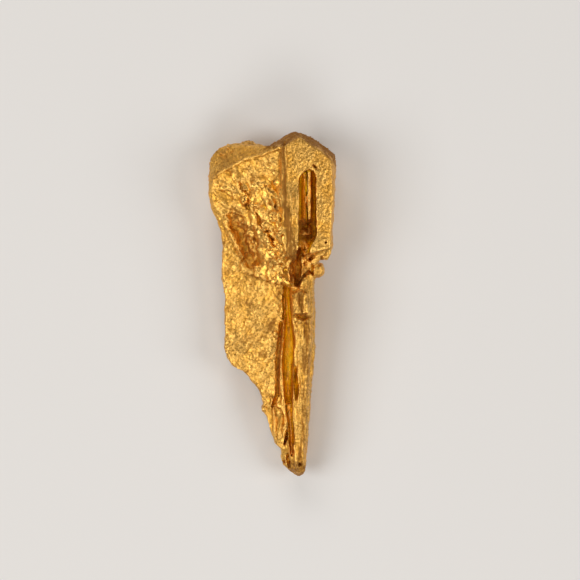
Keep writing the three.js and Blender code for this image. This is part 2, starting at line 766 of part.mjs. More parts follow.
function nuggetGeometry() {
  const grown = joined([
    headPrism(),
    headLobe(),
    headBumps(),
    growthPlates(),
    ridgeSeam(),
    blade(),
    bladeLumps(),
    neck(),
    column(),
    columnHead(),
    flake(),
    ribs(),
    crust(),
    backLumps(),
  ]);
  const cuts = joined([slot(), hollows(), headHoles(), crustPits(), grooves(), backRelief()]);
  const carved = grown.subtract(cuts);
  const whole = joined([carved, slotRod(), brokenEdge(), ledgeCrumbs()]);
  const { numProp, vertProperties, triVerts } = whole.getMesh();
  const geometry = new THREE.BufferGeometry();
  const points = new THREE.InterleavedBuffer(vertProperties, numProp);
  geometry.setAttribute("position", new THREE.InterleavedBufferAttribute(points, 3, 0));
  geometry.setIndex(new THREE.BufferAttribute(triVerts, 1));
  geometry.computeBoundingBox();
  return geometry;
}

const gold = new THREE.MeshStandardMaterial({ color: 0xc8963c, roughness: 0.4, metalness: 1 });
const nugget = new THREE.Mesh(nuggetGeometry(), gold);
nugget.name = "gold_nugget";
const middle = nugget.geometry.boundingBox.getCenter(new THREE.Vector3());
nugget.position.set(-middle.x, -middle.y, -nugget.geometry.boundingBox.min.z);

const part = new THREE.Group();
part.add(nugget);
export default part;
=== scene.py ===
"""The looks of a native gold nugget that lies on its back, seen from straight above.

The nugget's skin is sculpted over its plain solid in millimetres: worn edges, leathery creases on the
blade, crystals in the crust, striations along the ridge and the column, grain and pits. Outside that
work everything is in metres.
"""
import itertools

import bpy
import numpy as np
from mathutils import Matrix, Vector


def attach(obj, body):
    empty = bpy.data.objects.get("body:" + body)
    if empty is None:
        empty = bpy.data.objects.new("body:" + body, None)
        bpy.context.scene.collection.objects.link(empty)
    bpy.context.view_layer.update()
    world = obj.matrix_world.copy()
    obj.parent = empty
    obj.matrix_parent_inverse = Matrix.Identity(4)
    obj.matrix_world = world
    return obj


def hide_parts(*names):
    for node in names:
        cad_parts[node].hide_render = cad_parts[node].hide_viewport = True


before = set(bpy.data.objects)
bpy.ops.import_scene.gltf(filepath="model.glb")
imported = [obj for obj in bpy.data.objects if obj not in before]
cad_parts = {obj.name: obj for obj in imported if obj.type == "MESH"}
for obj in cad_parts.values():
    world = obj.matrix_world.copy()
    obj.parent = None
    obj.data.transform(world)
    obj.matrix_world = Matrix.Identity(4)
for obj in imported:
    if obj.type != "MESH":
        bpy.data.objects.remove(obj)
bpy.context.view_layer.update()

MM = 0.001
VOXEL = 0.058  # mm, the step of the skin before it is thinned out
SKIN_TRIANGLES = 190000
WORN_ROUNDS = 4  # how often the solid's edges are eased before the detail goes on
EASED_ROUNDS = 40  # how often the rough parts are eased
SMOOTH_ROUNDS = 80  # how often the smooth parts are eased

# The nugget seen from above, in millimetres. An outline has points of (x, y), and a path has points of
# (x, y, half width).

# The head: its left lobe, its right half and the ridge between them
LOBE_BEVEL = [(-4.9, 9.2), (-4.39, 9.55), (-3.49, 10.15), (-2.44, 10.68), (-1.84, 10.98), (-0.79, 11.2),
              (-0.04, 11.5), (0.55, 11.75), (0.65, 12.6), (-0.6, 12.5), (-1.9, 12.8), (-3.4, 12.5), (-5.2, 11.6)]
LOBE_CREST = [(-4.39, 9.5, 0.05), (-3.49, 10.12, 0.1), (-2.44, 10.65, 0.07), (-1.84, 10.94, 0.11),
              (-0.79, 11.17, 0.06), (0.5, 11.65, 0.08)]
LOBE_FACE = [(-4.9, 9.2), (-4.39, 9.55), (-2.44, 10.68), (-0.79, 11.2), (0.6, 11.75), (0.75, 9.0),
             (-0.6, 8.6), (-1.7, 8.6), (-2.5, 7.6), (-3.0, 7.2), (-3.6, 5.4), (-4.4, 6.8), (-5.0, 8.2)]
LOBE_DENT = [(-3.4, 9.9, 0.3), (-3.2, 9.9, 0.3)]
ROOF_BEVEL = [(-0.5, 11.5), (0.75, 11.85), (1.31, 12.0), (2.06, 12.42), (2.81, 11.93), (3.71, 11.48),
              (4.39, 10.88), (4.62, 10.4), (5.2, 10.6), (4.6, 12.2), (2.2, 13.4), (1.2, 13.3), (-0.6, 12.3)]
PANEL = [(1.1, 11.9), (2.06, 12.42), (4.39, 10.88), (4.75, 8.2), (4.5, 4.1), (3.3, 4.6), (3.3, 9.9), (2.0, 9.9),
         (1.95, 8.8), (1.2, 8.8)]
SLOT = [(1.95, 9.4), (2.2, 9.85), (2.75, 10.1), (3.2, 9.95), (3.28, 5.0), (2.75, 3.9), (1.9, 3.9)]
SLOT_END = [(1.95, 6.5), (3.25, 6.5), (3.25, 4.3), (2.0, 4.3)]
SLOT_FILL = 0.9  # how far the slot's floor has grown up
RIDGE = [(0.87, 12.0, 0.24), (0.86, 10.2, 0.26), (0.9, 8.8, 0.3), (1.15, 7.4, 0.55), (1.35, 6.2, 0.68),
         (1.42, 5.0, 0.66), (1.46, 4.1, 0.6), (1.5, 3.7, 0.4)]
RIDGE_FILM = [(0.87, 12.0, 0.13), (0.86, 10.2, 0.17), (0.88, 8.8, 0.16), (1.0, 7.4, 0.22), (1.15, 6.2, 0.27),
              (1.3, 5.0, 0.3), (1.42, 4.3, 0.42), (1.46, 3.75, 0.42)]

# The crust with its deep hollow, and the neck below the head
CRUST = [(-2.4, 9.2), (0.55, 9.4), (0.85, 7.0), (1.05, 4.4), (1.5, 3.4), (1.6, 1.5), (-0.2, 1.9), (-1.6, 2.4),
         (-1.1, 3.6), (-1.5, 5.0), (-2.0, 6.2), (-2.4, 7.5)]
LEDGE = [(-1.8, 2.6, 0.2), (-0.8, 2.35, 0.35), (0.2, 1.95, 0.35), (1.35, 1.65, 0.3)]
HOLLOW = [(-2.95, 7.5, 0.2), (-2.6, 6.2, 0.6), (-2.14, 5.2, 0.55), (-1.8, 4.3, 0.6), (-1.62, 3.4, 0.62),
          (-1.6, 2.7, 0.25)]
HOLLOW_DEPTH = 0.95
BROKEN_EDGE = [(1.85, 4.7), (2.9, 4.9), (4.3, 4.35), (4.6, 3.9), (4.3, 3.2), (3.4, 3.3), (2.7, 2.8), (1.9, 3.5)]
CAVITY = [(1.65, 3.75), (2.1, 3.5), (2.85, 2.7), (2.4, 2.0), (1.8, 1.25), (1.5, 1.6), (1.6, 2.6)]
SHOULDER = [(2.2, 1.9), (2.75, 2.55), (3.05, 3.0), (3.3, 2.9), (3.35, 1.3), (2.1, 1.25)]
FLAKE = [(3.3, 3.3), (4.2, 3.3), (4.2, 1.8), (3.2, 1.9)]

# The blade, the tail's hollow and the tip
BLADE = [(-4.1, 6.4), (-3.2, 6.6), (-2.3, 4.4), (-1.9, 2.6), (-1.3, 2.2), (0.9, 1.4), (0.72, -1.0), (0.3, -3.4),
         (0.3, -7.0), (-0.6, -8.4), (-1.2, -6.5), (-2.6, -5.1), (-4.0, -4.2)]
SIDE_SEAM = [(0.45, -2.6, 0.2), (0.42, -5.0, 0.2), (0.38, -6.6, 0.2), (0.15, -7.1, 0.18), (-0.05, -7.65, 0.12)]
# the painted shadow line along the side seam
SIDE_SEAM_SHADOW = [(0.44, -2.8, 0.05), (0.4, -5.0, 0.08), (0.36, -6.6, 0.07), (0.1, -7.3, 0.04)]
SPOON = [(0.78, -8.1, 0.35), (0.5, -9.2, 0.42), (0.3, -10.0, 0.3)]
TIP = [(0.9, -11.95), (2.0, -11.75), (2.7, -11.9), (2.6, -13.3), (1.2, -13.3)]

# The column with its block, its groove and its seam
COLUMN = [(1.45, 1.2), (2.0, 1.4), (2.7, 2.7), (3.3, 2.5), (3.4, -3.0), (2.7, -12.4), (1.6, -12.4), (1.5, -6.0)]
COLUMN_FILM = [(2.5, -1.0, 0.2), (2.55, -1.9, 0.26), (2.5, -3.2, 0.3), (2.5, -5.2, 0.28), (2.42, -7.5, 0.26),
               (2.25, -10.0, 0.24), (2.1, -11.6, 0.26)]
BLOCK = [(1.86, 1.0), (2.7, 1.05), (2.72, -0.7), (1.95, -0.75)]
BLOCK_FLANK = [(1.4, 0.95), (1.96, 1.0), (2.0, -0.72), (1.5, -0.78)]
BLOCK_HEIGHT = 4.95
BLOCK_TOP = [(1.4, 1.1, 0.3), (2.9, 1.1, 0.3)]
BLOCK_BROW = [(1.9, 1.2, 0.08), (2.6, 1.15, 0.1)]
BLOCK_PILLAR = [(1.62, 0.9, 0.2), (1.68, 0.2, 0.17), (1.8, -0.55, 0.12)]
BLOCK_TROUGH = [(2.12, 0.85, 0.12), (2.1, 0.1, 0.17), (2.2, -0.55, 0.14)]
BLOCK_RIB = [(2.5, 0.85, 0.12), (2.46, 0.1, 0.1), (2.55, -0.55, 0.1)]
UNDERCUT = [(1.55, -0.62, 0.05), (1.95, -0.85, 0.07), (2.35, -1.0, 0.11), (2.8, -0.86, 0.1)]
UNDER_BLOCK = [(1.65, -0.85), (2.85, -0.75), (2.75, -1.75), (1.75, -1.85)]
GROOVE = [(1.15, 1.4, 0.34), (1.15, -1.0, 0.36), (1.2, -4.0, 0.42), (1.2, -6.5, 0.32), (1.28, -8.0, 0.27),
          (1.4, -9.2, 0.24), (1.45, -10.5, 0.22), (1.45, -11.1, 0.14)]
GROOVE_FILL = 0.25  # how far the groove's floor has grown up
LOWER_GROOVE = [(1.25, -7.5, 0.2), (1.4, -9.2, 0.28), (1.45, -10.5, 0.26), (1.45, -11.1, 0.2)]
RIGHT_SEAM = [(1.8, -4.6, 0.14), (1.82, -7.1, 0.14)]

# Furrows that have grown up in part: the path, the level that the floor grows towards, and how much of the way
GROWN_FURROWS = [(SPOON, 2.8, 0.5), (RIGHT_SEAM, 3.5, 0.45), (SIDE_SEAM, 2.85, 0.4), (LOWER_GROOVE, 2.9, 0.4)]

# Deep holes: x, y, half length, half width, angle
PITS = [(0.87, 12.0, 0.17, 0.11, 0.0), (3.22, 10.3, 0.24, 0.09, 0.95), (4.02, 4.65, 0.1, 0.1, 0.0),
        (0.32, 7.25, 0.3, 0.17, 0.3), (0.62, 6.35, 0.3, 0.1, 0.1), (-1.85, 7.35, 0.3, 0.2, 0.5),
        (-1.35, 4.95, 0.2, 0.14, 0.0), (0.3, 1.6, 0.1, 0.1, 0.0), (0.72, 1.62, 0.1, 0.1, 0.0),
        (0.8, -11.85, 0.2, 0.12, -0.3), (2.05, -12.0, 0.12, 0.12, 0.0), (2.34, 2.1, 0.7, 0.12, -0.62),
        (3.72, 3.45, 0.2, 0.14, 0.6)]

# The photograph's frame on the nugget: its middle and its width
VIEW_MIDDLE = Vector((1.3325, 1.125, 3.0)) * MM
VIEW_WIDTH = 43.5 * MM
VIEW_DISTANCE = 260 * MM
FLOOR_HALF = 1.5  # half the floor's side


def eased(values, low, high):
    """0 below low, 1 above high, and a soft change between them."""
    share = np.clip((values - low) / (high - low), 0, 1)
    return share * share * (3 - 2 * share)


def scrambled(cells, seed):
    """A number from 0 to 1 for each whole-numbered cell, the same on every run."""
    mixed = np.full(cells.shape[:-1], (seed * 747796405 + 2891336453) % 2**32, np.uint32)
    for axis, factor in enumerate((0x9E3779B1, 0x85EBCA77, 0xC2B2AE3D)):
        mixed = (mixed ^ cells[..., axis].astype(np.uint32)) * np.uint32(factor)
        mixed ^= mixed >> np.uint32(15)
    mixed = mixed * np.uint32(0x27D4EB2F)
    mixed ^= mixed >> np.uint32(13)
    return mixed / 2.0**32


def swell(points, size, seed):
    """Smooth rises and dips from about -1 to 1, each about one size across."""
    places = points / size
    base = np.floor(places).astype(np.int64)
    inner = places - base
    ease = inner**3 * (inner * (inner * 6 - 15) + 10)
    total = np.zeros(len(points))
    for corner in itertools.product((0, 1), repeat=3):
        cell = base + corner
        slope = np.stack([scrambled(cell, 3 * seed + k) for k in range(3)], axis=-1) * 2 - 1
        share = np.prod(np.where(corner, ease, 1 - ease), axis=-1)
        total += share * np.sum(slope * (inner - corner), axis=-1)
    return 1.6 * total


def layered(points, size, seed, layers=3):
    """Swells of one size with finer and finer ones on them."""
    size = np.asarray(size, float)
    return sum(swell(points, size / 2**k, seed + 17 * k) / 1.8**k for k in range(layers))


def grains(points, size, seed):
    """Grains packed side by side: each point's distance to its grain's middle and to the next one's, in sizes,
    and its grain's own number from 0 to 1."""
    places = points / size
    base = np.floor(places).astype(np.int64)
    near = np.full(len(points), np.inf)
    after = np.full(len(points), np.inf)
    number = np.zeros(len(points))
    for step in itertools.product((-1, 0, 1), repeat=3):
        cell = base + step
        middle = cell + np.stack([scrambled(cell, 5 * seed + k) for k in range(3)], axis=-1)
        distance = np.linalg.norm(places - middle, axis=-1)
        closer = distance < near
        after = np.where(closer, near, np.minimum(after, distance))
        near = np.where(closer, distance, near)
        number = np.where(closer, scrambled(cell, 5 * seed + 3), number)
    return near, after, number


def crystals(points, size, seed):
    """Octahedra that grow side by side, all turned the same way: how high the skin stands over them, in sizes."""
    places = points / size
    base = np.floor(places).astype(np.int64)
    highest = np.full(len(points), -np.inf)
    for step in itertools.product((-1, 0, 1), repeat=3):
        cell = base + step
        offset = places - cell - np.stack([scrambled(cell, 7 * seed + k) for k in range(3)], axis=-1)
        lean = 0.7 * np.stack([scrambled(cell, 7 * seed + 3 + k) - 0.5 for k in range(3)], axis=-1)
        height = 0.8 * scrambled(cell, 7 * seed + 6) - np.sum(np.abs(offset) + lean * offset, axis=-1)
        highest = np.maximum(highest, height)
    return highest


def turned(points, angle):
    """Points turned about +Z, so that what is stretched along Y lies at that angle from it."""
    c, s = np.cos(angle), np.sin(angle)
    return points @ np.array(((c, -s, 0), (s, c, 0), (0, 0, 1)))


def inside(points, outline, soft):
    """1 inside an outline seen from above, 0 outside it, and a soft change across its edge."""
    x, y = points[:, 0], points[:, 1]
    nearest = np.full(len(points), np.inf)
    within = np.zeros(len(points), bool)
    for (ax, ay), (bx, by) in zip(outline, outline[1:] + outline[:1]):
        run, rise = bx - ax, by - ay
        share = np.clip(((x - ax) * run + (y - ay) * rise) / (run * run + rise * rise), 0, 1)
        nearest = np.minimum(nearest, np.hypot(x - ax - share * run, y - ay - share * rise))
        if rise:
            within ^= ((ay > y) != (by > y)) & (x < ax + (y - ay) / rise * run)
    return eased(np.where(within, nearest, -nearest), -soft, soft)


def along(points, path, soft):
    """1 on a path of (x, y, half width) seen from above, fading to 0 past its width."""
    x, y = points[:, 0], points[:, 1]
    strongest = np.zeros(len(points))
    for (ax, ay, aw), (bx, by, bw) in zip(path, path[1:]):
        run, rise = bx - ax, by - ay
        share = np.clip(((x - ax) * run + (y - ay) * rise) / (run * run + rise * rise), 0, 1)
        distance = np.hypot(x - ax - share * run, y - ay - share * rise)
        width = aw + share * (bw - aw)
        strongest = np.maximum(strongest, 1 - eased(distance, width - soft, width + soft))
    return strongest


def panel_height(points):
    """How high the head's flat right face is over each point."""
    return 5.75 - 0.22 * (points[:, 0] - 1.0)


def lobe_height(points):
    """How high the left lobe's face is over each point."""
    return 5.6 + 0.3 * (points[:, 0] - 1.0) + 0.14 * (points[:, 1] - 11.8)


def coordinates(mesh):
    found = np.empty(3 * len(mesh.vertices))
    mesh.vertices.foreach_get("co", found)
    return found.reshape(-1, 3)


def outward(mesh):
    found = np.empty(3 * len(mesh.vertices))
    mesh.vertex_normals.foreach_get("vector", found)
    return found.reshape(-1, 3)


def edge_ends(mesh):
    found = np.empty(2 * len(mesh.edges), np.int64)
    mesh.edges.foreach_get("vertices", found)
    return found.reshape(-1, 2)


def moved(mesh, points):
    mesh.vertices.foreach_set("co", points.ravel())
    mesh.update()


def relaxed(points, edges, rounds, share=0.5):
    """Points drawn towards the middle of their neighbours, again and again."""
    ends = np.concatenate([edges, edges[:, ::-1]])
    count = np.bincount(ends[:, 0], minlength=len(points))[:, None]
    for _ in range(rounds):
        sums = [np.bincount(ends[:, 0], points[ends[:, 1], axis], len(points)) for axis in range(3)]
        middle = np.where(count > 0, np.stack(sums, axis=-1) / np.maximum(count, 1), points)
        points = points + share * (middle - points)
    return points


def softened(points, edges, share, rounds):
    """Points relaxed by their share, and the others left where they are."""
    picked = np.flatnonzero(share > 0.001)
    order = np.full(len(points), -1)
    order[picked] = np.arange(len(picked))
    links = order[edges]
    drawn = relaxed(points[picked], links[(links >= 0).all(axis=1)], rounds)
    points = points.copy()
    points[picked] += share[picked, None] * (drawn - points[picked])
    return points


def through(mesh, kind, **settings):
    """A mesh as it comes out of one modifier."""
    carrier = bpy.data.objects.new("carrier", mesh)
    bpy.context.scene.collection.objects.link(carrier)
    modifier = carrier.modifiers.new("step", kind)
    for name, value in settings.items():
        setattr(modifier, name, value)
    graph = bpy.context.evaluated_depsgraph_get()
    made = bpy.data.meshes.new_from_object(carrier.evaluated_get(graph))
    bpy.data.objects.remove(carrier)
    return made


def triangle_count(mesh):
    return sum(len(face.vertices) - 2 for face in mesh.polygons)


def wrinkles(points):
    """The long folds of the blade, which lean to the right."""
    return layered(turned(points, -0.6), np.array((0.55, 1.8, 0.9)), 5, 3)


def pits(points):
    """The deep dark holes, each a soft ellipse seen from above."""
    deepest = np.zeros(len(points))
    for x, y, half_length, half_width, angle in PITS:
        place = turned(points - (x, y, 0), angle)
        reach = np.hypot(place[:, 0] / half_width, place[:, 1] / half_length)
        deepest = np.maximum(deepest, 1 - eased(reach, 0.35, 1.25))
    return deepest


def raised(points, path, level, share):
    """The skin with a furrow grown up in part: its floor goes a share of the way to a level."""
    lift = share * along(points, path, 0.08) * np.clip(level - points[:, 2], 0, None)
    return points + lift[:, None] * (0, 0, 1)


def hollowed(points, edges):
    """The skin with the deep hollow regraded: a steep left bank, and a right bank that rises slowly."""
    x, y, z = points.T
    middle_x, middle_y, _ = zip(*HOLLOW[::-1])
    flat = points * (1, 1, 0)
    across = x - np.interp(y, middle_y, middle_x) + 0.24 * layered(flat, 0.8, 41, 3)
    y = y + 0.3 * layered(flat, 0.7, 42, 2)
    reach = eased(y, 2.4, 3.6) * (1 - eased(y, 5.4, 7.7))
    bank = eased(across, -0.8, -0.2) * (1 - eased(across, -0.2, 1.3))
    ground = lobe_height(points) - HOLLOW_DEPTH * reach * bank
    share = eased(across, -0.85, -0.55) * (1 - eased(across, 1.2, 1.5))
    share *= eased(y, 2.2, 2.7) * (1 - eased(y, 7.4, 7.9)) * eased(z, 1.9, 2.2)
    points = points + np.stack([0 * z, 0 * z, share * (ground - z)], axis=-1)
    return softened(points, edges, share, 8)


def relief(points, normals, cupped):
    """How far the skin stands out of the worn solid at each point, in millimetres."""
    up = eased(normals[:, 2], 0.15, 0.5)
    sharp = eased(-cupped, 0.01, 0.05)
    blade = up * inside(points, BLADE, 0.2)
    crust = up * np.maximum(inside(points, CRUST, 0.3), along(points, LEDGE, 0.2))
    crust *= 1 - 0.7 * along(points, HOLLOW, 0.3)
    rough = (SHOULDER, BROKEN_EDGE, UNDER_BLOCK, SLOT_END)
    broken = up * np.maximum.reduce([inside(points, outline, 0.15) for outline in rough])
    crust = np.maximum(crust, 0.55 * broken * (1 - inside(points, FLAKE, 0.1)))
    hollow = up * along(points, HOLLOW, 0.15)
    groove = up * along(points, GROOVE, 0.08)
    bevels = np.maximum(inside(points, LOBE_BEVEL, 0.1), inside(points, ROOF_BEVEL, 0.1))
    panel = up * inside(points, PANEL, 0.1)
    ridge = up * along(points, RIDGE, 0.1)
    column = up * inside(points, COLUMN, 0.15) * (1 - groove)
    face = up * inside(points, LOBE_FACE, 0.2)
    slot = up * inside(points, SLOT, 0.05) * eased(panel_height(points) - points[:, 2], 0.2, 0.5)
    calm = 1 - np.maximum.reduce([0.85 * groove, 0.6 * slot, 0.5 * crust])
    flat = np.maximum(panel, 0.8 * bevels)

    # broad unevenness and the fine grain that is on every face
    depth = 0.06 * (1 - 0.6 * flat) * layered(points, 1.2, 1, 2)
    depth += 0.03 * calm * layered(points, 0.19, 2, 2)

    # worn, chipped edges
    depth -= 0.15 * sharp * np.clip(layered(points, 0.4, 3, 2) + 0.15, 0, 1)

    # leathery creases of the blade, which run along it and lean to the right
    near, after, number = grains(turned(points, -0.45), np.array((0.2, 0.34, 0.3)), 4)
    depth += blade * (0.04 * eased(after - near, 0, 0.4) + 0.02 * (number - 0.5) - 0.02)
    depth += blade * 0.09 * wrinkles(points)

    # pebbled bevels, panel and lobe
    near, after, _ = grains(points, np.array((0.2, 0.23, 0.22)), 6)
    pebble = eased(after - near, 0, 0.45) - 0.6
    depth += pebble * (0.028 * bevels + 0.03 * panel + 0.035 * face + 0.02 * column + 0.04 * hollow)

    # small pits
    near, _, number = grains(points, 0.42, 7)
    pit = (number > 0.7) * (1 - eased(near, 0.08, 0.28))
    depth -= 0.09 * pit * np.clip(0.5 * panel + 0.7 * bevels + 0.8 * face + 0.8 * blade + 0.6 * column, 0, 1)

    # lumps and wrinkles of the lobe's face, and its ragged crest
    depth += face * 0.11 * layered(turned(points, 0.8), np.array((0.7, 1.5, 0.9)), 8, 2)
    depth += 0.09 * up * along(points, LOBE_CREST, 0.06) * (0.7 + layered(points, 0.5, 16, 2))

    # crystals of the crust in three sizes, thick in some places
    lying = turned(points, 0.55)
    thick = 0.35 + 0.65 * eased(swell(points, 1.4, 23), -0.4, 0.5)
    for size, tall, seed in ((1.5, 0.55, 9), (0.75, 0.3, 10), (0.4, 0.1, 14)):
        grown = crystals(lying, size * np.array((0.75, 1.3, 0.8)), seed)
        depth += crust * thick * tall * (grown + 0.35)

    # striations along the ridge, the column and the rod in the slot
    streak = layered(points, np.array((0.2, 1.8, 0.6)), 11, 2)
    depth += streak * (0.11 * ridge + 0.13 * column + 0.04 * slot + 0.012 * groove)

    # the steep flanks: long striations, lumps and pits
    flank = 1 - eased(np.abs(normals[:, 2]), 0.25, 0.6)
    depth += flank * (0.04 * streak + 0.045 * layered(points, 0.7, 17, 2) + 0.008 * pebble - 0.05 * pit - 0.02)

    # the deep holes, the undercut below the block, and the block's own pillar, trough and rib
    depth -= 0.3 * up * pits(points) + 0.25 * up * along(points, UNDERCUT, 0.08)
    block = up * np.maximum(inside(points, BLOCK, 0.2), inside(points, BLOCK_FLANK, 0.1))
    depth += 0.11 * block * layered(points, np.array((0.35, 0.55, 0.4)), 15, 3)
    depth += block * (0.12 * along(points, BLOCK_PILLAR, 0.1) - 0.2 * along(points, BLOCK_TROUGH, 0.12)
                      + 0.1 * along(points, BLOCK_RIB, 0.08))

    # the rough walls of the hollow
    depth += hollow * 0.08 * layered(points, 0.5, 12, 3)

    # the rough back
    under = 1 - eased(normals[:, 2], -0.2, 0.3)
    depth += under * (0.06 * layered(points, 0.7, 13, 3) + 0.018 * pebble)
    return depth


def worn_solid(points, edges):
    """The solid with its edges eased, its block filled out to the left and its furrows grown up in part."""
    points = relaxed(points, edges, WORN_ROUNDS)
    flank = inside(points, BLOCK_FLANK, 0.08) * eased(points[:, 2], 3.0, 3.3)
    points[:, 2] += flank * (BLOCK_HEIGHT - 0.75 * (1.98 - points[:, 0]) - points[:, 2])
    worn = np.maximum.reduce([
        0.65 * inside(points, CRUST, 0.3),
        0.5 * inside(points, BLOCK, 0.3),
        0.85 * along(points, BLOCK_TOP, 0.1),
        0.9 * along(points, LOBE_DENT, 0.1),
        0.7 * along(points, SIDE_SEAM, 0.08),
        0.6 * along(points, RIGHT_SEAM, 0.06),
    ])
    for furrow, level, share in GROWN_FURROWS:
        points = raised(points, furrow, level, share)
    return softened(points, edges, worn, EASED_ROUNDS)


def grown_floors(points, normals, edges):
    """The skin with the floors of the groove and the slot grown up, and a smooth flake and tail hollow."""
    level = eased(normals[:, 2], 0.4, 0.8)
    points[:, 2] += GROOVE_FILL * level * along(points, GROOVE, 0.1)
    sunk = eased(panel_height(points) - points[:, 2], 1.0, 1.3)
    ramp = (0.6 + 0.4 * eased(points[:, 0], 2.12, 2.4)) * (1 - eased(points[:, 0], 2.55, 2.7))
    ramp *= eased(points[:, 1], 5.8, 6.4)
    points[:, 2] += SLOT_FILL * sunk * ramp * inside(points, SLOT, 0.0001)
    smooth = np.maximum(along(points, SPOON, 0.15), inside(points, FLAKE, 0.1))
    return softened(points, edges, smooth, SMOOTH_ROUNDS)


def strayed(points):
    """The skin with the straight lines of the hollow, the crust, the ledge and the groove led astray."""
    share = np.maximum.reduce([
        along(points, HOLLOW, 0.6),
        0.8 * inside(points, CRUST, 0.6),
        along(points, LEDGE, 0.3),
        0.12 * along(points, GROOVE, 0.3),
    ])
    for axis in (0, 1):
        points[:, axis] += 0.22 * share * layered(points, 0.7, 31 + axis, 3)
    return points


def nugget_skin():
    """The nugget's sculpted skin, with what the finish needs to know stored on its points."""
    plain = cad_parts["gold_nugget"].data.copy()
    plain.transform(Matrix.Scale(1 / MM, 4))
    mesh = through(plain, "REMESH", mode="VOXEL", voxel_size=VOXEL, adaptivity=0.0)
    edges = edge_ends(mesh)
    points = hollowed(worn_solid(coordinates(mesh), edges), edges)
    moved(mesh, points)
    points = strayed(grown_floors(points, outward(mesh), edges))
    moved(mesh, points)
    normals = outward(mesh)
    cupped = np.sum((relaxed(points, edges, 12) - points) * normals, axis=-1)
    points = points + normals * relief(points, normals, cupped)[:, None]
    points = relaxed(points, edges, 1, 0.15)
    points[:, 2] = np.maximum(points[:, 2], 0)
    moved(mesh, points)
    mesh = through(mesh, "DECIMATE", ratio=min(1, SKIN_TRIANGLES / triangle_count(mesh)))
    mesh.shade_smooth()
    store_finish(mesh)
    mesh.transform(Matrix.Scale(MM, 4))
    mesh.name = "nugget_skin"
    return mesh


def store_finish(mesh):
    """Stored on the skin's points: the brown patina, which also carries the side seam's painted shadow line,
    painted shadow on the block's brow and in the undercut below it, and painted shade in the cavity, the deep
    hollow and the deep holes; the hollows, where painted orange inter-reflection goes; the small pits, where
    painted shade goes; what stands proud, and the streaked and the glossy parts."""
    points, normals, edges = coordinates(mesh), outward(mesh), edge_ends(mesh)
    up = eased(normals[:, 2], 0.1, 0.5)
    ragged = points.copy()
    ragged[:, 0] += 0.2 * layered(points, np.array((0.5, 1.3, 0.8)), 24, 3)
    ragged[:, 1] += 0.25 * layered(points, 0.7, 25, 3)
    fine = np.sum((relaxed(points, edges, 8) - points) * normals, axis=-1)
    broad = np.sum((relaxed(points, edges, 60) - points) * normals, axis=-1)
    cloud = layered(points, 1.1, 21, 3)
    speck = layered(points, 0.25, 22, 2)
    bevels = np.maximum(0.28 * inside(ragged, LOBE_BEVEL, 0.2), 0.95 * inside(ragged, ROOF_BEVEL, 0.25))
    bands = np.maximum.reduce([
        bevels,
        0.92 * up * along(0.65 * points + 0.35 * ragged, RIDGE_FILM, 0.12),
        0.68 * up * along(ragged, COLUMN_FILM, 0.24),
        # the painted shadow line along the side seam
        0.7 * up * along(ragged, SIDE_SEAM_SHADOW, 0.1),
        0.35 * up * inside(ragged, FLAKE, 0.2),
        0.35 * up * inside(ragged, BLOCK, 0.25),
        0.85 * up * along(ragged, BLOCK_TROUGH, 0.12),
        0.7 * inside(ragged, TIP, 0.25),
        # painted shadow on the block's brow and in the undercut below the block; painted shade in the cavity and
        # in the middle of the deep hollow
        0.6 * up * along(ragged, BLOCK_BROW, 0.1),
        0.9 * up * along(0.5 * points + 0.5 * ragged, UNDERCUT, 0.1),
        0.3 * inside(ragged, CAVITY, 0.15),
        0.45 * up * along(ragged, HOLLOW, 0.45),
        0.8 * up * inside(points, SLOT, 0.05) * eased(-np.abs(points[:, 1] - 5.6), -1.2, -0.6),
    ])
    folded = inside(points, BLADE, 0.2) * eased(-wrinkles(points), 0.05, 0.5)
    scattered = 0.3 * eased(cloud, 0.0, 0.7) + 0.25 * eased(speck, 0.2, 0.8) + 0.38 * folded
    scattered *= 0.5 + 0.5 * eased(np.abs(normals[:, 2]), 0.2, 0.6)
    # the deep holes get painted shade
    film_and_shade = np.clip(bands * (0.85 + 0.35 * speck) + (1 - bands) * scattered + up * pits(points), 0, 1)
    streaked = up * np.maximum(along(points, RIDGE, 0.1), inside(points, COLUMN, 0.15))
    streaked *= 1 - along(points, GROOVE, 0.1)
    glossy = up * inside(points, CRUST, 0.3)
    sunken = np.maximum.reduce([along(points, GROOVE, 0.1), inside(points, SLOT, 0.05),
                                along(points, RIGHT_SEAM, 0.05)])
    # painted orange inter-reflection goes where the skin is hollow and on the floors of the groove, the slot and
    # the right seam
    hollow = np.maximum(eased(broad, 0.04, 0.3), sunken * eased(broad, -0.02, 0.08))
    hollow *= 1 - np.maximum(0.5 * along(ragged, HOLLOW, 0.5), 0.7 * along(points, SPOON, 0.2))
    # painted shade goes into the small pits and creases
    pitted = eased(fine, 0.004, 0.03) * (1 - 0.6 * along(ragged, HOLLOW, 0.5))
    proud = eased(-fine, 0.004, 0.03)
    for name, values in (("film_and_shade", film_and_shade), ("hollow", hollow), ("pitted", pitted), ("proud", proud),
                         ("streaked", streaked), ("glossy", glossy)):
        layer = mesh.attributes.new(name, "FLOAT", "POINT")
        layer.data.foreach_set("value", values.astype(np.float32))


class Shade:
    """A value that changes over a surface. Arithmetic on it adds Math nodes."""

    def __init__(self, finish, socket):
        self.finish = finish
        self.socket = socket

    def worked(self, operation, *values):
        return self.finish.node("ShaderNodeMath", {"operation": operation}, dict(enumerate(values)))

    def __add__(self, other):
        return self.worked("ADD", self, other)

    def __sub__(self, other):
        return self.worked("SUBTRACT", self, other)

    def __rsub__(self, other):
        return self.worked("SUBTRACT", other, self)

    def __mul__(self, other):
        return self.worked("MULTIPLY", self, other)

    __radd__ = __add__
    __rmul__ = __mul__


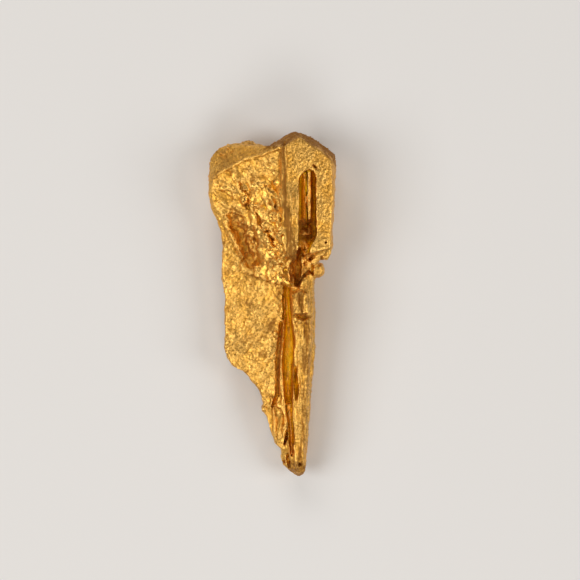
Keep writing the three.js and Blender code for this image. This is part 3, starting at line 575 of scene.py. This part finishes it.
class Finish:
    """A material, and the one way in which its nodes are added."""

    def __init__(self, name):
        self.material = bpy.data.materials.new(name)
        self.material.use_nodes = True
        self.tree = self.material.node_tree
        self.tree.nodes.clear()

    def node(self, kind, settings, sockets, output=0):
        made = self.tree.nodes.new(kind)
        for name, value in settings.items():
            setattr(made, name, value)
        for name, value in sockets.items():
            if isinstance(value, Shade):
                self.tree.links.new(value.socket, made.inputs[name])
            else:
                made.inputs[name].default_value = value
        return Shade(self, made.outputs[output]) if made.outputs else None

    def stored(self, name):
        return self.node("ShaderNodeAttribute", {"attribute_name": name}, {}, "Fac")

    def noise(self, where, scale, detail=3, roughness=0.55):
        return self.node("ShaderNodeTexNoise", {}, {"Vector": where, "Scale": scale, "Detail": detail,
                                                   "Roughness": roughness})

    def between(self, value, low, high):
        return self.node("ShaderNodeMapRange", {"interpolation_type": "SMOOTHSTEP"},
                         {"Value": value, "From Min": low, "From Max": high})

    def mixed(self, share, first, second):
        return self.node("ShaderNodeMix", {"data_type": "RGBA"}, {0: share, 6: first, 7: second}, 2)

    def done(self, sockets):
        surface = self.node("ShaderNodeBsdfPrincipled", {}, sockets)
        self.node("ShaderNodeOutputMaterial", {}, {"Surface": surface})
        return self.material


YELLOW_GOLD = (0.90, 0.455, 0.07, 1)
PALE_GOLD = (0.97, 0.57, 0.14, 1)
# painted orange inter-reflection, for the hollows, the groove, the slot and the right seam
INTERREFLECTION_GOLD = (0.96, 0.58, 0.008, 1)
# the brown patina, also used as painted shade and painted shadow
BROWN_FILM_AND_SHADE = (0.31, 0.125, 0.018, 1)
# painted shade for the small pits, and the colour of the random brown specks
PIT_SHADE_AND_SPECK_BROWN = (0.37, 0.165, 0.018, 1)


def native_gold():
    """Bright granular gold with painted orange inter-reflection in the hollows and painted shade in the small
    pits, and a dull brown patina on bevels, ridge and crest, which also paints shade and shadow in recesses and
    under the block.
    """
    gold = Finish("native_gold")
    where = gold.node("ShaderNodeTexCoord", {}, {}, "Object")
    drawn = gold.node("ShaderNodeVectorMath", {"operation": "MULTIPLY"}, {0: where, 1: (1, 0.09, 0.4)})
    film_and_shade, hollow, pitted = gold.stored("film_and_shade"), gold.stored("hollow"), gold.stored("pitted")
    proud, streaked, glossy = gold.stored("proud"), gold.stored("streaked"), gold.stored("glossy")
    clouds = gold.noise(where, 600, 4)
    grain = gold.noise(where, 5200, 4, 0.6)
    dust = gold.noise(where, 8500, 3, 0.55)
    streaks = gold.noise(drawn, 6500, 3, 0.6)
    patches = film_and_shade + 0.9 * (grain - 0.5) + 1.6 * streaked * (streaks - 0.5)
    cover = gold.between(patches, 0.12, 0.85)
    colour = gold.mixed(gold.between(clouds, 0.35, 0.65), YELLOW_GOLD, PALE_GOLD)
    colour = gold.mixed(proud * 0.6, colour, PALE_GOLD)
    # painted orange inter-reflection in the hollows
    colour = gold.mixed(hollow, colour, INTERREFLECTION_GOLD)
    # painted shade in the small pits
    colour = gold.mixed(pitted * (1 - 0.6 * hollow) * (0.7 - 0.5 * glossy), colour, PIT_SHADE_AND_SPECK_BROWN)
    # the brown patina, with painted shade and painted shadow where the bands and the deep holes put it
    colour = gold.mixed(cover * 0.92, colour, BROWN_FILM_AND_SHADE)
    # random brown specks
    colour = gold.mixed(gold.between(dust + 0.5 * (clouds - 0.5), 0.52, 0.66) * 0.65, colour, PIT_SHADE_AND_SPECK_BROWN)
    height = (1 - 0.3 * glossy) * (0.6 * grain + dust) + 1.2 * streaked * streaks
    bump = gold.node("ShaderNodeBump", {}, {"Strength": 1.0, "Distance": 0.04 * MM, "Height": height})
    return gold.done({
        "Base Color": colour,
        "Metallic": 1 - 0.1 * cover,
        "Roughness": 0.28 + 0.25 * cover + 0.18 * clouds + 0.1 * hollow - 0.06 * proud - 0.04 * glossy,
        "Normal": bump,
    })


def pale_floor():
    floor = Finish("pale_floor")
    where = floor.node("ShaderNodeTexCoord", {}, {}, "Object")
    cloud = floor.noise(where, 6, 2)
    colour = floor.mixed(cloud, (0.78, 0.78, 0.77, 1), (0.82, 0.82, 0.81, 1))
    return floor.done({"Base Color": colour, "Roughness": 0.7})


def shown(name, data):
    made = bpy.data.objects.new(name, data)
    bpy.context.scene.collection.objects.link(made)
    return made


def lay_floor():
    mesh = bpy.data.meshes.new("floor")
    corners = [(x * FLOOR_HALF, y * FLOOR_HALF, 0) for x, y in ((-1, -1), (1, -1), (1, 1), (-1, 1))]
    mesh.from_pydata(corners, [], [(0, 1, 2, 3)])
    mesh.materials.append(pale_floor())
    shown("floor", mesh)


def softbox(name, place, size, watts):
    """A soft light that faces the nugget. Place and size in millimetres."""
    light = bpy.data.lights.new(name, "AREA")
    light.shape = "RECTANGLE"
    light.size, light.size_y = size[0] * MM, size[1] * MM
    light.energy = watts
    lamp = shown(name, light)
    lamp.location = Vector(place) * MM
    lamp.rotation_euler = (-lamp.location).to_track_quat("-Z", "Y").to_euler()


def light_studio():
    softbox("left_softbox", (-300, -60, 330), (260, 300), 0.94)
    softbox("right_softbox", (330, -40, 260), (180, 260), 0.57)
    softbox("head_softbox", (-80, 330, 230), (260, 140), 0.4)
    softbox("foot_softbox", (30, -330, 300), (260, 160), 0.48)
    world = bpy.data.worlds.new("studio")
    world.use_nodes = True
    world.node_tree.nodes["Background"].inputs["Color"].default_value = (0.17, 0.13, 0.095, 1)
    bpy.context.scene.world = world
    bpy.context.scene.view_settings.view_transform = "Standard"


def set_camera():
    camera = bpy.data.cameras.new("camera")
    camera.sensor_width = 36
    camera.lens = camera.sensor_width * VIEW_DISTANCE / VIEW_WIDTH
    camera.clip_start = 0.005
    held = shown("camera", camera)
    held.location = VIEW_MIDDLE + Vector((0, 0, VIEW_DISTANCE))
    bpy.context.scene.camera = held


def lay_nugget():
    nugget = shown("nugget_skin", nugget_skin())
    nugget.data.materials.clear()
    nugget.data.materials.append(native_gold())
    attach(nugget, "root")
    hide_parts("gold_nugget")


set_camera()
light_studio()
lay_floor()
lay_nugget()
